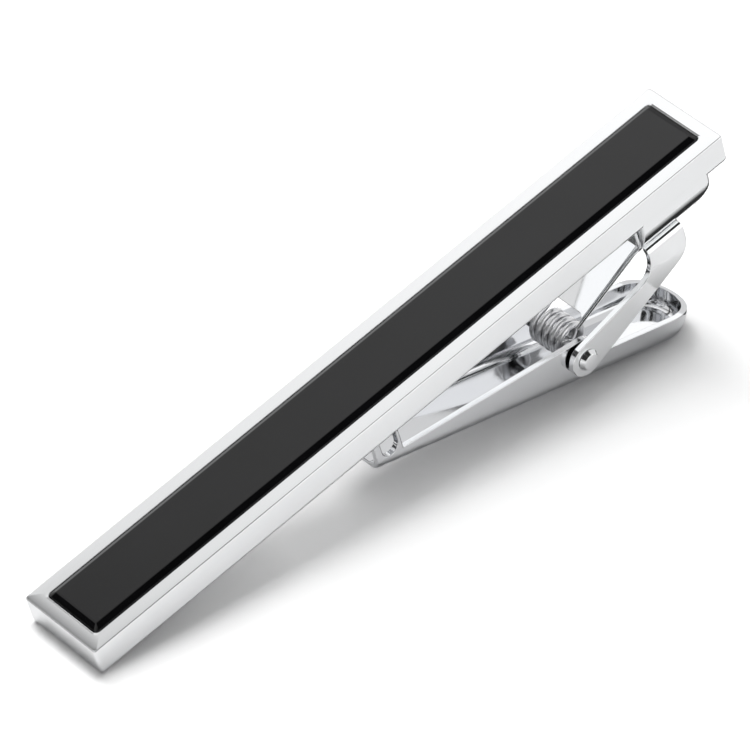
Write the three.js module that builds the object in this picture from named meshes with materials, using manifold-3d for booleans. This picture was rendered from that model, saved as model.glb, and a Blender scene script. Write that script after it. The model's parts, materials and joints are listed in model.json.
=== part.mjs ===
// Tie bar with a stone inlay and a sprung alligator clip, lying face up on its left end and its clip's tail.
// Millimetres. Pieces are drawn in the bar's own frame: X along the bar, Y across it, Z = 0 on the bar's back
// and the front face up. The finished group is then leaned over until it rests on the ground, Z = 0.
import * as THREE from 'three';
import { mergeVertices } from 'three/addons/utils/BufferGeometryUtils.js';
import Module from 'manifold-3d';

// Bar: a cast and plated tray with a rim, and a boss under its right end.
const barLength = 58;
const barWidth = 7.4;
const barThickness = 2.6;
const rimWidth = 1.1;
const pocketDepth = 1.3;
const barCornerRound = 0.2;
const barLowerRound = 0.5;
const barUpperRound = 0.15;
const bossSetback = 1.5;
const bossLength = 6.9;
const bossHeight = 2.25;
const bossEndRound = 1.9;
const bossFootRound = 0.3;
const bossEdgeRound = 1;
const bossSideRound = 0.4;

// Inlay: a polished stone slab with a bevelled top, standing a little proud of the rim.
const inlayProud = 0.3;
const inlayBevel = 0.45;
const inlayCornerRound = 0.35;
const inlayFit = 0.05;
const cementThickness = 0.1;
const cementMargin = 0.2;

// Clip jaw: a stamped channel that is open at the nose and closes round the tail like a spoon.
const jawAngle = THREE.MathUtils.degToRad(21.3);
const jawWidth = 5.7;
const jawSheet = 0.45;
const jawFloorDrop = 2.75;
const jawBottomRound = 1.2;
const jawHumpRadius = 1.3;
const noseReach = 17.9;
const noseWallHeight = 1.5;
const tailReach = 11.85;
const tailRoundLength = 3.1;
const tailWallHeight = 2.25;
const tailEndDip = 0.5;
const frontToothWidth = 0.55;
const notchWidth = 1.4;
const notchDepth = 2.4;
const rearToothWidth = 0.3;
const gripGap = 0.05;

// Bracket: one stamping, a base under the boss with two ears that carry the pin and a tongue for the spring.
const bracketSheet = 0.45;
const bracketBend = 0.6;
const earClearance = 0.2;
const baseInset = 0.35;
const baseLength = 3.3;
const pinReach = 6.95;
const pinDrop = 5.05;
const armRound = 1.38;
const armUpperAngle = THREE.MathUtils.degToRad(10);
const armLowerAngle = THREE.MathUtils.degToRad(20.5);
const earInnerRound = 1.5;
const earOuterRound = 1.2;
const tongueAngle = THREE.MathUtils.degToRad(26.8);
const tongueLength = 7.5;
const tongueFoldInset = 0.65;
const tongueRootWidth = 5.2;
const tongueTipWidth = 4.3;
const prongLength = 1.05;
const prongSpan = 3.7;
const prongRound = 0.5;
const tongueRoll = 0.7;
const tongueRollAngle = THREE.MathUtils.degToRad(35);
const tongueSlit = 0.2;
const tongueThinning = 0.02;
const solderThickness = 0.1;
const solderMargin = 0.35;

// Hinge pin: a rivet whose two domed heads stand outside the ears.
const pinRadius = 0.5;
const pinHeadRadius = 0.85;
const pinHeadHeight = 0.4;
const pinClearance = 0.05;

// Torsion spring: coiled round the pin, one leg under the tongue and one on the floor of the jaw's tail.
const springWire = 0.45;
const springRadius = 1.2;
const springGap = 0.43;
const springShift = 0.4;
const springSideRoom = 0.1;
const upperLegLength = 3.2;
const lowerLegLength = 5.6;
const legSides = 5;
const stepsPerCurl = 8;

// Pieces that touch are drawn this far apart.
const seatGap = 0.03;

const wasm = await Module();
wasm.setup();

const plated = { color: 0xdcdddf, roughness: 0.08, metalness: 1 };
const springSteel = { color: 0xc4c6c9, roughness: 0.2, metalness: 1 };
const onyx = { color: 0x17181a, roughness: 0.12, metalness: 0 };
const cement = { color: 0x3a3a38, roughness: 0.8, metalness: 0 };
const solder = { color: 0xa9acae, roughness: 0.35, metalness: 1 };

// A closed geometry as a solid for cutting and joining.
function solid(geometry) {
  const bare = geometry.clone();
  bare.deleteAttribute('normal');
  bare.deleteAttribute('uv');
  const merged = mergeVertices(bare, 1e-4);
  const vertProperties = merged.attributes.position.array;
  const triVerts = Uint32Array.from(merged.index.array);
  return new wasm.Manifold(new wasm.Mesh({ numProp: 3, vertProperties, triVerts }));
}

// A cut or joined solid as a geometry again.
function geometryOf(body) {
  const mesh = body.getMesh();
  const geometry = new THREE.BufferGeometry();
  geometry.setAttribute('position', new THREE.BufferAttribute(mesh.vertProperties, 3));
  geometry.setIndex(new THREE.BufferAttribute(mesh.triVerts, 1));
  geometry.computeVertexNormals();
  return geometry;
}

// A named piece in its finish.
function piece(name, geometry, finish) {
  const mesh = new THREE.Mesh(geometry, new THREE.MeshStandardMaterial(finish));
  mesh.name = name;
  return mesh;
}

// A skin over rings of equally many points, closed by flat caps. The outline is the first ring seen from its end.
function loft(rings, outline) {
  const count = outline.length;
  const corners = rings.flat();
  const faces = [];
  rings.slice(1).forEach((ring, level) => {
    outline.forEach((_, side) => {
      const low = level * count;
      const high = low + count;
      const next = (side + 1) % count;
      faces.push(low + side, low + next, high + next);
      faces.push(low + side, high + next, high + side);
    });
  });
  const last = (rings.length - 1) * count;
  THREE.ShapeUtils.triangulateShape(outline, []).forEach(([a, b, c]) => {
    faces.push(a, c, b);
    faces.push(last + a, last + b, last + c);
  });
  const geometry = new THREE.BufferGeometry().setFromPoints(corners);
  geometry.setIndex(faces);
  geometry.computeVertexNormals();
  return geometry;
}

// A stack of level outlines, each drawn by ring(inset) at its own height.
function stack(levels, ring) {
  const rings = levels.map(([inset, height]) => ring(inset).map((p) => new THREE.Vector3(p.x, p.y, height)));
  return loft(rings, ring(levels[0][0]));
}

// Insets and heights of a rounded lower edge, from the bottom up, and of a rounded upper edge.
const edgeSteps = [0, 0.25, 0.5, 0.75, 1];

function lowerEdge(radius, bottom) {
  return edgeSteps.map((t) => {
    const turn = (t * Math.PI) / 2;
    return [radius * (1 - Math.sin(turn)), bottom + radius * (1 - Math.cos(turn))];
  });
}

function upperEdge(radius, top) {
  return edgeSteps.map((t) => {
    const turn = (t * Math.PI) / 2;
    return [radius * (1 - Math.cos(turn)), top - radius * (1 - Math.sin(turn))];
  });
}

// A rectangle with rounded corners, drawn in by an inset.
function rectangle(length, width, corner, inset) {
  const radius = Math.max(corner - inset, 0.05);
  const x = length / 2 - inset - radius;
  const y = width / 2 - inset - radius;
  const shape = new THREE.Shape();
  shape.absarc(x, y, radius, 0, Math.PI / 2);
  shape.absarc(-x, y, radius, Math.PI / 2, Math.PI);
  shape.absarc(-x, -y, radius, Math.PI, 1.5 * Math.PI);
  shape.absarc(x, -y, radius, 1.5 * Math.PI, 2 * Math.PI);
  return shape.getPoints(4).slice(0, -1);
}

// An outline with rounded corners, each corner given as [x, y, radius].
function roundedOutline(corners) {
  const shape = new THREE.Shape();
  corners.forEach(([x, y, radius], index) => {
    const here = new THREE.Vector2(x, y);
    const [before, after] = [index - 1, index + 1].map((neighbour) => {
      const [nx, ny] = corners[(neighbour + corners.length) % corners.length];
      return new THREE.Vector2(nx, ny).sub(here).normalize();
    });
    const halfAngle = before.angleTo(after) / 2;
    const reach = radius / Math.tan(halfAngle);
    const start = here.clone().addScaledVector(before, reach);
    const end = here.clone().addScaledVector(after, reach);
    if (index === 0) shape.moveTo(start.x, start.y);
    else shape.lineTo(start.x, start.y);
    if (radius > 0) shape.quadraticCurveTo(here.x, here.y, end.x, end.y);
  });
  shape.closePath();
  return shape;
}

// A side view in X and Z, as thick across Y as the width says and centred on it.
function acrossY(shape, width) {
  const geometry = new THREE.ExtrudeGeometry(shape, { depth: width, bevelEnabled: false, curveSegments: 10 });
  return geometry.translate(0, 0, -width / 2).rotateX(Math.PI / 2);
}

// A section in Y and Z, carried along X from one place to another.
function alongX(shape, from, to) {
  const geometry = new THREE.ExtrudeGeometry(shape, { depth: to - from, bevelEnabled: false, curveSegments: 6 });
  const turn = new THREE.Matrix4().makeBasis(
    new THREE.Vector3(0, 1, 0),
    new THREE.Vector3(0, 0, 1),
    new THREE.Vector3(1, 0, 0),
  );
  return geometry.applyMatrix4(turn).translate(from, 0, 0);
}

// Places that the pieces share.
const bossRight = barLength / 2 - bossSetback;
const bossLeft = bossRight - bossLength;
const bossBottom = -bossHeight;
const baseTop = bossBottom - solderThickness;
const baseLeft = bossLeft + baseInset;
const baseRight = baseLeft + baseLength;
const foldX = baseLeft + tongueFoldInset;
const pinX = baseLeft - pinReach;
const pinZ = baseTop - pinDrop;
const jawHalf = jawWidth / 2;
const jawInnerHalf = jawHalf - jawSheet;
const earInner = jawHalf + earClearance;
const earOuter = earInner + bracketSheet;
const pinHole = pinRadius + pinClearance;
const pocketFloor = barThickness - pocketDepth;
const pocketLength = barLength - 2 * rimWidth;
const pocketWidth = barWidth - 2 * rimWidth;
const jawFloor = -jawFloorDrop;
const tailRim = jawFloor + tailWallHeight;

function pinBore() {
  const reach = 2 * (earOuter + pinHeadRadius);
  return new THREE.CylinderGeometry(pinHole, pinHole, reach, 24);
}

// The boss in side view, drawn in by an inset, from inside the bar down to its rounded foot. Its ends are drawn in
// by less than its foot.
function bossRing(inset) {
  const endInset = (inset * bossSideRound) / bossEdgeRound;
  const top = barThickness / 2;
  const left = bossLeft + endInset;
  const right = bossRight - endInset;
  const bottom = bossBottom + inset;
  const outline = roundedOutline([
    [left, top, 0],
    [left, bottom, Math.max(bossFootRound - inset, 0.05)],
    [right, bottom, Math.max(bossEndRound - inset, 0.05)],
    [right, top, 0],
  ]);
  return outline.getPoints(8).slice(0, -1);
}

function barFrame() {
  const bossHalf = (barWidth - seatGap) / 2;
  const bossLevels = [...lowerEdge(bossEdgeRound, -bossHalf), ...upperEdge(bossEdgeRound, bossHalf)];
  const levels = [...lowerEdge(barLowerRound, 0), ...upperEdge(barUpperRound, barThickness)];
  const block = stack(levels, (inset) => rectangle(barLength, barWidth, barCornerRound, inset));
  const boss = stack(bossLevels, bossRing).rotateX(Math.PI / 2);
  const pocketLevels = [[0, pocketFloor], [0, barThickness + 1]];
  const pocket = stack(pocketLevels, (inset) => rectangle(pocketLength, pocketWidth, inlayCornerRound, inset));
  return geometryOf(solid(block).add(solid(boss)).subtract(solid(pocket)));
}

function inlayCement() {
  const length = pocketLength - 2 * cementMargin;
  const width = pocketWidth - 2 * cementMargin;
  const bottom = pocketFloor + seatGap;
  const levels = [[0, bottom], [0, bottom + cementThickness]];
  return stack(levels, (inset) => rectangle(length, width, inlayCornerRound, inset));
}

function onyxInlay() {
  const length = pocketLength - 2 * inlayFit;
  const width = pocketWidth - 2 * inlayFit;
  const bottom = pocketFloor + cementThickness + 2 * seatGap;
  const levels = [[0, bottom], [0, barThickness], [inlayBevel, barThickness + inlayProud]];
  return stack(levels, (inset) => rectangle(length, width, inlayCornerRound, inset));
}

function solderPad() {
  const length = baseLength - 2 * solderMargin;
  const width = 2 * (earOuter - bracketBend);
  const levels = [[0, baseTop + seatGap], [0, bossBottom - seatGap]];
  const pad = stack(levels, (inset) => rectangle(length, width, solderMargin, inset));
  return pad.translate((baseLeft + baseRight) / 2, 0, 0);
}

// The ears and the base in side view: a short upright part, and an arm that runs out to the pin.
function bracketOutline() {
  const upperX = pinX - armRound * Math.sin(armUpperAngle);
  const upperZ = pinZ + armRound * Math.cos(armUpperAngle);
  const lowerX = pinX + armRound * Math.sin(armLowerAngle);
  const lowerZ = pinZ - armRound * Math.cos(armLowerAngle);
  const innerZ = upperZ + (baseLeft - upperX) * Math.tan(armUpperAngle);
  const outerZ = lowerZ + (baseRight - lowerX) * Math.tan(armLowerAngle);
  const innerRun = earInnerRound * Math.cos(armUpperAngle);
  const innerRise = earInnerRound * Math.sin(armUpperAngle);
  const outerRun = earOuterRound * Math.cos(armLowerAngle);
  const outerRise = earOuterRound * Math.sin(armLowerAngle);
  const shape = new THREE.Shape();
  shape.moveTo(baseRight, baseTop);
  shape.lineTo(baseLeft, baseTop);
  shape.lineTo(baseLeft, innerZ + earInnerRound);
  shape.quadraticCurveTo(baseLeft, innerZ, baseLeft - innerRun, innerZ - innerRise);
  shape.lineTo(upperX, upperZ);
  shape.absarc(pinX, pinZ, armRound, Math.PI / 2 + armUpperAngle, 1.5 * Math.PI + armLowerAngle);
  shape.lineTo(baseRight - outerRun, outerZ - outerRise);
  shape.quadraticCurveTo(baseRight, outerZ, baseRight, outerZ + earOuterRound);
  shape.closePath();
  return shape;
}

// The tongue's section seen from its tip: flat in the middle, with its edges rolled down.
function tongueSection(halfWidth, roll) {
  const flat = halfWidth - tongueRoll * Math.sin(tongueRollAngle);
  const arc = edgeSteps.map((t) => {
    const turn = t * tongueRollAngle;
    return [flat + tongueRoll * Math.sin(turn), -roll * tongueRoll * (1 - Math.cos(turn))];
  });
  const right = arc.map(([y, drop]) => new THREE.Vector2(y, drop));
  const left = arc.map(([y, drop]) => new THREE.Vector2(-y, drop)).reverse();
  const top = [...left, ...right];
  const sheet = bracketSheet - 2 * tongueThinning;
  const under = top.map((p) => new THREE.Vector2(p.x, p.y - sheet));
  return [...top.reverse(), ...under];
}

// The tongue leaves the base in line with it, folds down and runs on to the coil, where it ends in two prongs.
function tongue() {
  const top = baseTop - tongueThinning;
  const foldZ = top - bracketBend;
  const stations = [{ x: foldX + tongueFoldInset, z: top, turn: 0, share: 0 }];
  edgeSteps.forEach((t) => {
    const turn = t * tongueAngle;
    const x = foldX - bracketBend * Math.sin(turn);
    const z = foldZ + bracketBend * Math.cos(turn);
    stations.push({ x, z, turn, share: 0 });
  });
  const root = stations.at(-1);
  [0.15, 1].forEach((share) => {
    const x = root.x - tongueLength * share * Math.cos(tongueAngle);
    const z = root.z - tongueLength * share * Math.sin(tongueAngle);
    stations.push({ x, z, turn: tongueAngle, share });
  });
  const rings = stations.map(({ x, z, turn, share }) => {
    const halfWidth = THREE.MathUtils.lerp(tongueRootWidth, tongueTipWidth, share) / 2;
    const section = tongueSection(halfWidth, Math.min(1, share / 0.15));
    return section.map((p) => new THREE.Vector3(x - p.y * Math.sin(turn), -p.x, z + p.y * Math.cos(turn)));
  });
  const tip = stations.at(-1);
  const gapLevels = [[0, -bracketBend - tongueRoll], [0, bracketBend]];
  const gap = stack(gapLevels, (inset) => rectangle(2 * prongLength, prongSpan, prongRound, inset));
  gap.rotateY(-tongueAngle).translate(tip.x, 0, tip.z);
  return solid(loft(rings, tongueSection(tongueRootWidth / 2, 0))).subtract(solid(gap));
}

function clipBracket() {
  const legEnd = pinZ - 2 * armRound;
  const inner = Math.max(bracketBend - bracketSheet, 0.05);
  const section = roundedOutline([
    [-earOuter, legEnd, 0],
    [-earInner, legEnd, 0],
    [-earInner, baseTop - bracketSheet, inner],
    [earInner, baseTop - bracketSheet, inner],
    [earInner, legEnd, 0],
    [earOuter, legEnd, 0],
    [earOuter, baseTop, bracketBend],
    [-earOuter, baseTop, bracketBend],
  ]);
  const channel = solid(alongX(section, pinX - 2 * armRound, baseRight + armRound));
  const outline = solid(acrossY(bracketOutline(), 2 * earOuter + 1));
  const slitWidth = tongueRootWidth + 2 * tongueSlit;
  const slit = new THREE.BoxGeometry(2 * tongueFoldInset, slitWidth, 3 * bracketSheet);
  slit.translate(baseLeft, 0, baseTop - bracketSheet / 2);
  const bore = solid(pinBore().translate(pinX, 0, pinZ));
  const ears = channel.intersect(outline).subtract(solid(slit)).subtract(bore);
  return geometryOf(ears.add(tongue()));
}

// A point of the bar's frame in the jaw's own frame, which starts at the pin and runs along the jaw to its tail.
function inJaw(x, z) {
  const dx = x - pinX;
  const dz = z - pinZ;
  const along = dx * Math.cos(jawAngle) - dz * Math.sin(jawAngle);
  const up = dx * Math.sin(jawAngle) + dz * Math.cos(jawAngle);
  return new THREE.Vector2(along, up);
}

// The jaw from above: straight sides and a half-round tail.
function jawPlan(inset, nose) {
  const half = jawHalf - inset;
  const tailStart = tailReach - tailRoundLength;
  const shape = new THREE.Shape();
  shape.moveTo(nose, -half);
  shape.lineTo(tailStart, -half);
  shape.absellipse(tailStart, 0, tailRoundLength - inset, half, -Math.PI / 2, Math.PI / 2);
  shape.lineTo(nose, half);
  return shape.getPoints(14);
}

// The jaw from the side: front tooth, notch and rear tooth at the nose, a wall that rises to the hump
// round the pin, and the lower wall of the tail.
function jawOutline() {
  const noseX = pinX - noseReach;
  const notchLeft = noseX + frontToothWidth;
  const notchRight = notchLeft + notchWidth;
  const toothRight = notchRight + rearToothWidth;
  const notchTurn = notchWidth / 2;
  const wallUp = jawFloor + noseWallHeight;
  const wallAlong = (toothRight - pinX - wallUp * Math.sin(jawAngle)) / Math.cos(jawAngle);
  const wallStart = new THREE.Vector2(wallAlong, wallUp);
  const below = jawFloor - 1;
  const wallRise = jawHumpRadius - wallStart.y;
  const humpTangent = Math.atan2(wallRise, -wallStart.x);
  const shape = new THREE.Shape();
  const to = (point) => shape.lineTo(point.x, point.y);
  const front = inJaw(noseX, -gripGap);
  shape.moveTo(front.x, front.y);
  const foot = inJaw(noseX, -gripGap - 2 * bossHeight);
  const slide = (below - front.y) / (foot.y - front.y);
  shape.lineTo(front.x + slide * (foot.x - front.x), below);
  shape.lineTo(tailReach + 1, below);
  shape.lineTo(tailReach + 1, tailRim - tailEndDip);
  shape.lineTo(tailReach, tailRim - tailEndDip);
  shape.quadraticCurveTo(tailReach - tailRoundLength / 2, tailRim, tailReach - tailRoundLength, tailRim);
  const humpFoot = 2 * jawHumpRadius;
  shape.lineTo(humpFoot, tailRim);
  shape.quadraticCurveTo(jawHumpRadius, tailRim, jawHumpRadius, 0);
  shape.absarc(0, 0, jawHumpRadius, 0, Math.PI / 2 + humpTangent);
  to(wallStart);
  to(inJaw(toothRight, -gripGap));
  to(inJaw(notchRight, -gripGap));
  const bottom = edgeSteps.map((t) => {
    const turn = t * Math.PI;
    const x = (notchLeft + notchRight) / 2 + notchTurn * Math.cos(turn);
    const z = notchTurn - notchDepth - notchTurn * Math.sin(turn);
    return inJaw(x, z);
  });
  bottom.forEach(to);
  to(inJaw(notchLeft, -gripGap));
  shape.closePath();
  return shape;
}

function clipJaw() {
  const nose = -noseReach - jawFloorDrop - jawHumpRadius;
  const top = Math.max(jawHumpRadius, inJaw(pinX, 0).y) + 1;
  const innerRound = Math.max(jawBottomRound - jawSheet, 0.1);
  const outerLevels = [...lowerEdge(jawBottomRound, jawFloor), [0, top]];
  const innerLevels = [...lowerEdge(innerRound, jawFloor + jawSheet), [0, top + 1]];
  const outer = solid(stack(outerLevels, (inset) => jawPlan(inset, nose)));
  const inner = solid(stack(innerLevels, (inset) => jawPlan(inset + jawSheet, nose - 1)));
  const side = solid(acrossY(jawOutline(), 2 * jawWidth));
  return geometryOf(outer.subtract(inner).intersect(side).subtract(solid(pinBore())));
}

function hingePin() {
  const face = earOuter + seatGap;
  const dome = edgeSteps.map((t) => {
    const turn = (t * Math.PI) / 2;
    return new THREE.Vector2(pinHeadRadius * Math.cos(turn), face + pinHeadHeight * Math.sin(turn));
  });
  dome[dome.length - 1].x = 0;
  const upper = [new THREE.Vector2(pinRadius, face), ...dome];
  const lower = upper.map((p) => new THREE.Vector2(p.x, -p.y)).reverse();
  return new THREE.LatheGeometry([...lower, ...upper], 24);
}

// The spring's centre line: lower leg, coil, upper leg, each place given along X, Y and Z from the pin.
function springPath() {
  const pitch = springWire + springGap;
  const room = prongSpan - 2 * springSideRoom - springWire;
  const floorLine = jawFloor + jawSheet + seatGap + springWire / 2;
  const centre = new THREE.Vector2(springShift, 0);
  const centreUp = centre.x * Math.sin(jawAngle);
  const legFall = centreUp - springRadius - floorLine;
  const lowerTurn = -jawAngle - Math.asin(legFall / lowerLegLength);
  const startTurn = lowerTurn - Math.PI / 2;
  const wholeSweep = lowerTurn - Math.PI;
  const curls = Math.floor(room / pitch - wholeSweep / (2 * Math.PI));
  const sweep = wholeSweep + curls * 2 * Math.PI;
  const steps = Math.round((stepsPerCurl * sweep) / (2 * Math.PI));
  const reach = (pitch * sweep) / (2 * Math.PI);
  const at = (x, y, z) => new THREE.Vector3(x, y, z);
  const points = [];
  const lowerStart = at(
    centre.x + springRadius * Math.cos(startTurn),
    -reach / 2,
    centre.y + springRadius * Math.sin(startTurn),
  );
  const legSteps = [1, 0.75, 0.5, 0.25];
  legSteps.forEach((share) => {
    const run = share * lowerLegLength;
    points.push(at(lowerStart.x + run * Math.cos(lowerTurn), lowerStart.y, lowerStart.z + run * Math.sin(lowerTurn)));
  });
  for (let step = 0; step <= steps; step += 1) {
    const turn = startTurn - (sweep * step) / steps;
    const y = reach * (step / steps - 0.5);
    points.push(at(centre.x + springRadius * Math.cos(turn), y, centre.y + springRadius * Math.sin(turn)));
  }
  const bend = springRadius;
  const bendX = centre.x + bend;
  [0.5, 1].forEach((share) => {
    const turn = share * tongueAngle;
    points.push(at(bendX + bend * Math.sin(turn), reach / 2, springRadius + bend * (1 - Math.cos(turn))));
  });
  const last = points.at(-1);
  [0.5, 1].forEach((share) => {
    const run = share * upperLegLength;
    points.push(at(last.x + run * Math.cos(tongueAngle), last.y, last.z + run * Math.sin(tongueAngle)));
  });
  return points;
}

function torsionSpring() {
  const path = springPath();
  const across = new THREE.Vector3(0, 1, 0);
  const ringAngles = Array.from({ length: legSides }, (_, side) => (side * 2 * Math.PI) / legSides);
  const outline = ringAngles.map((turn) => new THREE.Vector2(Math.cos(turn), Math.sin(turn)));
  const rings = path.map((point, index) => {
    const ahead = path[Math.min(index + 1, path.length - 1)];
    const behind = path[Math.max(index - 1, 0)];
    const along = ahead.clone().sub(behind).normalize();
    const out = new THREE.Vector3().crossVectors(across, along).normalize();
    const side = new THREE.Vector3().crossVectors(along, out);
    return outline.map((p) => {
      const offset = out.clone().multiplyScalar(p.x).addScaledVector(side, p.y);
      return point.clone().addScaledVector(offset, springWire / 2);
    });
  });
  let least = Infinity;
  rings.forEach((ring, index) => {
    rings.slice(index + stepsPerCurl / 2).forEach((other) => {
      ring.forEach((p) => other.forEach((q) => { least = Math.min(least, p.distanceTo(q)); }));
    });
  });
  console.log(`spring: least gap to itself ${least.toFixed(3)} mm`);
  return loft(rings, outline);
}

const jaw = piece('clip_jaw', clipJaw(), plated);
jaw.rotation.y = jawAngle;
jaw.position.set(pinX, 0, pinZ);
const pin = piece('hinge_pin', hingePin(), plated);
pin.position.set(pinX, 0, pinZ);
const spring = piece('torsion_spring', torsionSpring(), springSteel);
spring.position.set(pinX, 0, pinZ);
const frame = piece('bar_frame', barFrame(), plated);

const tieBar = new THREE.Group();
tieBar.add(frame);
tieBar.add(piece('inlay_cement', inlayCement(), cement));
tieBar.add(piece('onyx_inlay', onyxInlay(), onyx));
tieBar.add(piece('solder_pad', solderPad(), solder));
tieBar.add(piece('clip_bracket', clipBracket(), plated));
tieBar.add(jaw);
tieBar.add(pin);
tieBar.add(spring);
tieBar.updateMatrixWorld(true);

// The height of a piece's lowest corner when the bar is leaned over by an angle, right end up.
function lowest(mesh, lean) {
  const corner = new THREE.Vector3();
  const corners = mesh.geometry.attributes.position;
  let least = Infinity;
  for (let index = 0; index < corners.count; index += 1) {
    corner.fromBufferAttribute(corners, index).applyMatrix4(mesh.matrixWorld);
    least = Math.min(least, corner.x * Math.sin(lean) + corner.z * Math.cos(lean));
  }
  return least;
}

// The lean at which the bar's left end and the jaw's tail are level.
function restLean() {
  let low = 0;
  let high = Math.PI / 4;
  for (let round = 0; round < 40; round += 1) {
    const middle = (low + high) / 2;
    if (lowest(frame, middle) > lowest(jaw, middle)) low = middle;
    else high = middle;
  }
  return low;
}

const lean = restLean();
tieBar.rotation.y = -lean;
tieBar.updateMatrixWorld(true);
const box = new THREE.Box3().setFromObject(tieBar, true);
const middle = box.getCenter(new THREE.Vector3());
tieBar.position.set(-middle.x, -middle.y, -box.min.z);
tieBar.updateMatrixWorld(true);

const hinge = new THREE.Vector3(pinX, 0, pinZ).applyMatrix4(tieBar.matrixWorld);
const gripFace = new THREE.Vector3((pinX - noseReach + bossLeft) / 2, 0, 0).applyMatrix4(tieBar.matrixWorld);
console.log(`lean ${THREE.MathUtils.radToDeg(lean).toFixed(3)} degrees`);
console.log(`hinge axis through ${hinge.toArray().map((v) => v.toFixed(4)).join(', ')}`);
console.log(`grip face through ${gripFace.toArray().map((v) => v.toFixed(4)).join(', ')}`);
console.log(`size ${box.getSize(new THREE.Vector3()).toArray().map((v) => v.toFixed(3)).join(' x ')}`);

export default tieBar;
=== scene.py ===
# %% [markdown]
# # A tie bar with an onyx inlay and a sprung clip
#
# The object is a slim plated bar with a black stone slab let into its front. Under its right end a small
# alligator clip is soldered on: a bent bracket, a jaw with two teeth on each wall, a rivet and a torsion spring.
# The bar lies face up and leans on the clip's tail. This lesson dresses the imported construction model: each
# piece is a surface worked out with numpy, and each finish is a small node tree.

# %% Load the fixed frame
import json

import bmesh
import bpy
import numpy as np
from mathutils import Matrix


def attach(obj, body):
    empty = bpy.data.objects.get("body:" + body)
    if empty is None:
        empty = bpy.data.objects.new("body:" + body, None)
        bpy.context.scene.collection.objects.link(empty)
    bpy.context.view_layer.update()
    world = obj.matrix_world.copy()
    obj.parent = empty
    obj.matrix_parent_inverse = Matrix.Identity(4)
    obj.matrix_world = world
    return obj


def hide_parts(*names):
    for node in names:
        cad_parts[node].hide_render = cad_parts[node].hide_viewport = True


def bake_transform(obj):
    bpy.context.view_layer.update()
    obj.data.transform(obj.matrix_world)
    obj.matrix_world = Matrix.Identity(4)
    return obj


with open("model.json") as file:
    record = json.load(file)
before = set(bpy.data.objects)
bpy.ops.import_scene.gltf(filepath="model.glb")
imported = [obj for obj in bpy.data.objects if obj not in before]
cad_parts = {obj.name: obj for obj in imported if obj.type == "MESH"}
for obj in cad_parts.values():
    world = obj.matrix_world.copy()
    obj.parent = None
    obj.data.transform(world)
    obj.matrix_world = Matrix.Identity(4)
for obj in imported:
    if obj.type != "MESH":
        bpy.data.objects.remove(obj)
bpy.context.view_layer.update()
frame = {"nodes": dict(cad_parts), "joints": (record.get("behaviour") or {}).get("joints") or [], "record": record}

print("nodes:", sorted(frame["nodes"]))

# %% [markdown]
# ## The bar's own frame
#
# A maker draws the bar flat: x runs along it, y across it, and z is zero on its back and grows towards the
# front face. On the table the bar leans, so those drawings have to be turned. The lean is the tilt of the grip
# face's normal in the record, and the hinge is the one point whose place is known in both frames. Working in
# flat millimetres and turning everything once at the end keeps every formula below short.

# %% From the bar's frame to the table
MM = 0.001
PIN_X = 14.0
PIN_Z = -7.4
grip_axis = frame["record"]["mounts"][0]["axis"]
lean = np.arctan2(grip_axis[0], -grip_axis[2])
hinge = np.array(frame["joints"][0]["pos_m"])


def on_table(points):
    """Turns points of the bar's frame about the pin by the lean, then moves the pin to the hinge, in metres."""
    x, y, z = np.moveaxis(np.asarray(points, float), -1, 0)
    along = (x - PIN_X) * MM
    up = (z - PIN_Z) * MM
    turned_x = along * np.cos(lean) - up * np.sin(lean)
    turned_z = along * np.sin(lean) + up * np.cos(lean)
    return np.stack([turned_x, y * MM, turned_z], axis=-1) + hinge


print(f"lean {np.degrees(lean):.2f} degrees, hinge at {hinge / MM} mm")

# %% [markdown]
# ## Grids, rings and bent sheets
#
# Three ways of closing a surface cover this whole object. A grid is a table of points whose neighbouring
# cells become four-sided faces. A stack is a grid that runs round, closed by a flat face at each end, which
# suits castings and slabs. A sheet is two grids a wall thickness apart, joined along their free edges, which
# suits stampings. Index arithmetic makes all faces at once, so no loop ever visits a vertex.


# %% Faces of grids, stacks and sheets
def cells(rows, columns, around=False):
    """Corner numbers of the cells of a grid numbered row by row; around joins its last column to its first."""
    last = columns if around else columns - 1
    row, column = np.meshgrid(np.arange(rows - 1), np.arange(last), indexing="ij")
    after = (column + 1) % columns
    low = row * columns
    high = low + columns
    corners = np.stack([low + column, low + after, high + after, high + column], axis=-1)
    return corners.reshape(-1, 4)


def stack(rings):
    """A skin over rings of equally many points, closed by the first and the last ring as flat faces."""
    levels, count = rings.shape[:2]
    ends = [list(range(count)), list(range((levels - 1) * count, levels * count))]
    return rings.reshape(-1, 3), cells(levels, count, around=True).tolist() + ends


def sheet(outer, inner, open_edges=()):
    """Two grids of the same shape joined along their four edges, apart from the edges that are named as open."""
    rows, columns = outer.shape[:2]
    count = rows * columns
    number = np.arange(count).reshape(rows, columns)
    edges = {
        "first_row": number[0],
        "last_row": number[-1],
        "first_column": number[:, 0],
        "last_column": number[:, -1],
    }
    faces = [cells(rows, columns), cells(rows, columns) + count]
    for name, edge in edges.items():
        if name not in open_edges:
            faces.append(np.stack([edge[:-1], edge[1:], edge[1:] + count, edge[:-1] + count], axis=-1))
    points = np.concatenate([outer.reshape(-1, 3), inner.reshape(-1, 3)])
    return points, np.concatenate(faces).tolist()


# %% [markdown]
# ## From arrays to a finished piece
#
# A polished surface shows every flaw in its normals. So each mesh is cleaned first: points that coincide on
# seams and poles are merged, faces without area go, and all normals are turned outwards. Edges sharper than a
# set angle stay sharp, a small bevel catches the light along them, and weighted normals keep the flat faces
# flat in the reflections although their edges are round.

# %% Make a piece
MERGE_DISTANCE = 1e-6
SHARP_ANGLE = np.radians(32)
BEVEL_ANGLE = np.radians(28)
BEVEL_SEGMENTS = 3


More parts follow.
